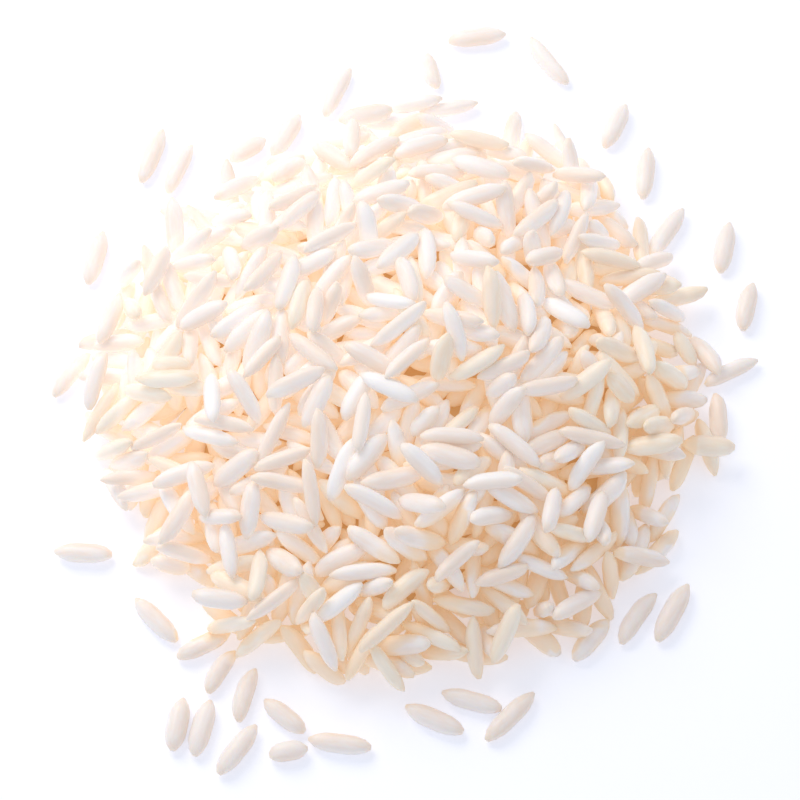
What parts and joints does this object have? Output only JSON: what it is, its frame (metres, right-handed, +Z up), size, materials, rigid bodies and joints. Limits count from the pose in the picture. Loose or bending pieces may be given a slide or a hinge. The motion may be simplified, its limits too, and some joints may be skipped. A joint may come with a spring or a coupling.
{
  "type": "heap of long-grain white rice",
  "caption": "Low poured heap of raw long-grain white rice with an uneven foot and single grains strayed round it, resting on a flat surface.",
  "frame": {"origin": "middle of the heap's foot, on the surface that the rice lies on", "axes": "+Z up from the surface; -Y is the side nearest to the viewer, +X to the viewer's right"},
  "size_m": [0.0778, 0.0896, 0.0163],
  "materials": {
    "rice_heap": "polished raw rice, slightly waxy and translucent, milky white with cream and chalky kernels",
    "stray_grain": "polished raw rice, slightly waxy and translucent, milky white"
  },
  "bodies": {
    "root": {"rice_heap": "rice_heap", "stray_grain_01": "stray_grain", "stray_grain_02": "stray_grain", "stray_grain_03": "stray_grain", "stray_grain_04": "stray_grain", "stray_grain_05": "stray_grain", "stray_grain_06": "stray_grain", "stray_grain_07": "stray_grain", "stray_grain_08": "stray_grain", "stray_grain_09": "stray_grain", "stray_grain_10": "stray_grain", "stray_grain_11": "stray_grain", "stray_grain_12": "stray_grain", "stray_grain_13": "stray_grain", "stray_grain_14": "stray_grain", "stray_grain_15": "stray_grain", "stray_grain_16": "stray_grain", "stray_grain_17": "stray_grain", "stray_grain_18": "stray_grain", "stray_grain_19": "stray_grain", "stray_grain_20": "stray_grain", "stray_grain_21": "stray_grain", "stray_grain_22": "stray_grain", "stray_grain_23": "stray_grain", "stray_grain_24": "stray_grain", "stray_grain_25": "stray_grain", "stray_grain_26": "stray_grain", "stray_grain_27": "stray_grain", "stray_grain_28": "stray_grain", "stray_grain_29": "stray_grain", "stray_grain_30": "stray_grain", "stray_grain_31": "stray_grain", "stray_grain_32": "stray_grain", "stray_grain_33": "stray_grain"}
  },
  "joints": []
}
